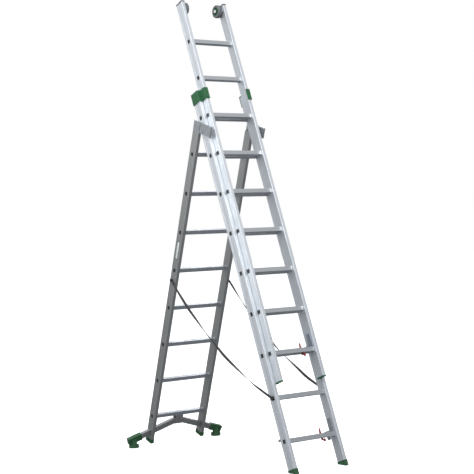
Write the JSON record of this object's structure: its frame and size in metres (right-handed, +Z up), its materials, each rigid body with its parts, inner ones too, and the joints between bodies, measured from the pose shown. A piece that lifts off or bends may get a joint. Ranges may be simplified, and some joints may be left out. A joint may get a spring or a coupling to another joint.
{
  "type": "extension ladder",
  "caption": "Free-standing aluminium ladder with a sliding fly section, a hinged rear section on a wide stabiliser, restraint straps, guide clamps and wall wheels",
  "frame": {"origin": "on the floor, under the middle of the opened ladder", "axes": "+Z up, +X along the rungs to the right seen from the front leg, +Y to the rear leg"},
  "size_m": [0.818, 1.7598, 3.1319],
  "materials": {
    "bright_aluminium": "extruded, light and matt",
    "grey_aluminium": "extruded, darker grey",
    "green_plastic": "moulded, green",
    "green_rubber": "moulded rubber, dark green",
    "red_plastic": "moulded, red",
    "dark_plastic": "moulded, near black",
    "zinc_steel": "zinc plated",
    "cast_alloy": "grey casting",
    "grey_tyre": "solid grey tyre",
    "black_webbing": "woven webbing"
  },
  "bodies": {
    "middle_section": {"middle_stile_left": "bright_aluminium", "middle_stile_right": "bright_aluminium", "middle_rung_1": "bright_aluminium", "middle_rung_2": "bright_aluminium", "middle_rung_3": "bright_aluminium", "middle_rung_4": "bright_aluminium", "middle_rung_5": "bright_aluminium", "middle_rung_6": "bright_aluminium", "middle_rung_7": "bright_aluminium", "middle_rung_8": "bright_aluminium", "middle_rung_9": "bright_aluminium", "middle_foot_left": "green_rubber", "middle_foot_right": "green_rubber", "guide_clamp_left": "green_plastic", "guide_clamp_right": "green_plastic", "middle_hooks": "cast_alloy", "hinge_bolts": "zinc_steel", "middle_strap_anchors": "dark_plastic", "strap_left": "black_webbing", "strap_right": "black_webbing"},
    "fly_section": {"fly_stile_left": "bright_aluminium", "fly_stile_right": "bright_aluminium", "fly_rung_1": "bright_aluminium", "fly_rung_2": "bright_aluminium", "fly_rung_3": "bright_aluminium", "fly_rung_4": "bright_aluminium", "fly_rung_5": "bright_aluminium", "fly_rung_6": "bright_aluminium", "fly_rung_7": "bright_aluminium", "fly_rung_8": "bright_aluminium", "fly_rung_9": "bright_aluminium", "fly_top_caps": "dark_plastic", "fly_bottom_caps": "green_plastic", "fly_hooks": "zinc_steel", "wheel_brackets": "zinc_steel"},
    "rear_section": {"rear_stile_left": "grey_aluminium", "rear_stile_right": "grey_aluminium", "rear_rung_1": "grey_aluminium", "rear_rung_2": "grey_aluminium", "rear_rung_3": "grey_aluminium", "rear_rung_4": "grey_aluminium", "rear_rung_5": "grey_aluminium", "rear_rung_6": "grey_aluminium", "rear_rung_7": "grey_aluminium", "rear_rung_8": "grey_aluminium", "rear_feet": "green_rubber", "hinge_bracket_left": "cast_alloy", "hinge_bracket_right": "cast_alloy", "stabiliser_arm_left": "grey_aluminium", "stabiliser_arm_right": "grey_aluminium", "stabiliser_foot_left": "green_rubber", "stabiliser_foot_right": "green_rubber", "stabiliser_bracket": "grey_aluminium", "rear_strap_anchors": "dark_plastic"},
    "wheel_left": {"wheel_tyre_left": "grey_tyre", "wheel_hub_left": "green_plastic"},
    "wheel_right": {"wheel_tyre_right": "grey_tyre", "wheel_hub_right": "green_plastic"},
    "fly_latch_lever": {"fly_latch": "red_plastic"},
    "middle_latch_lever": {"middle_latch": "red_plastic"}
  },
  "joints": [
    {"name": "rear_fold", "type": "hinge", "parent": "middle_section", "child": "rear_section", "pos_m": [0, -0.03304, 2.19914], "axis": [-1, 0, 0], "range_deg": [0, 40.3], "deforming": ["strap_left", "strap_right"]},
    {"name": "fly_slide", "type": "slide", "parent": "middle_section", "child": "fly_section", "axis": [0, 0.3445, 0.9388], "range_m": [-0.56, 1.12]},
    {"name": "wheel_spin_left", "type": "hinge", "parent": "fly_section", "child": "wheel_left", "pos_m": [-0.1393, 0.25672, 3.08026], "axis": [1, 0, 0], "continuous": true},
    {"name": "wheel_spin_right", "type": "hinge", "parent": "fly_section", "child": "wheel_right", "pos_m": [0.1393, 0.25672, 3.08026], "axis": [1, 0, 0], "continuous": true},
    {"name": "fly_latch_turn", "type": "hinge", "parent": "fly_section", "child": "fly_latch_lever", "pos_m": [0.09, -0.60207, 0.72386], "axis": [1, 0, 0], "range_deg": [0, 15], "stiffness_Nm_per_rad": 0.12, "springref_deg": -20.05},
    {"name": "middle_latch_turn", "type": "hinge", "parent": "middle_section", "child": "middle_latch_lever", "pos_m": [0.107, -0.74701, 0.18373], "axis": [1, 0, 0], "range_deg": [0, 15], "stiffness_Nm_per_rad": 0.12, "springref_deg": -20.05}
  ]
}
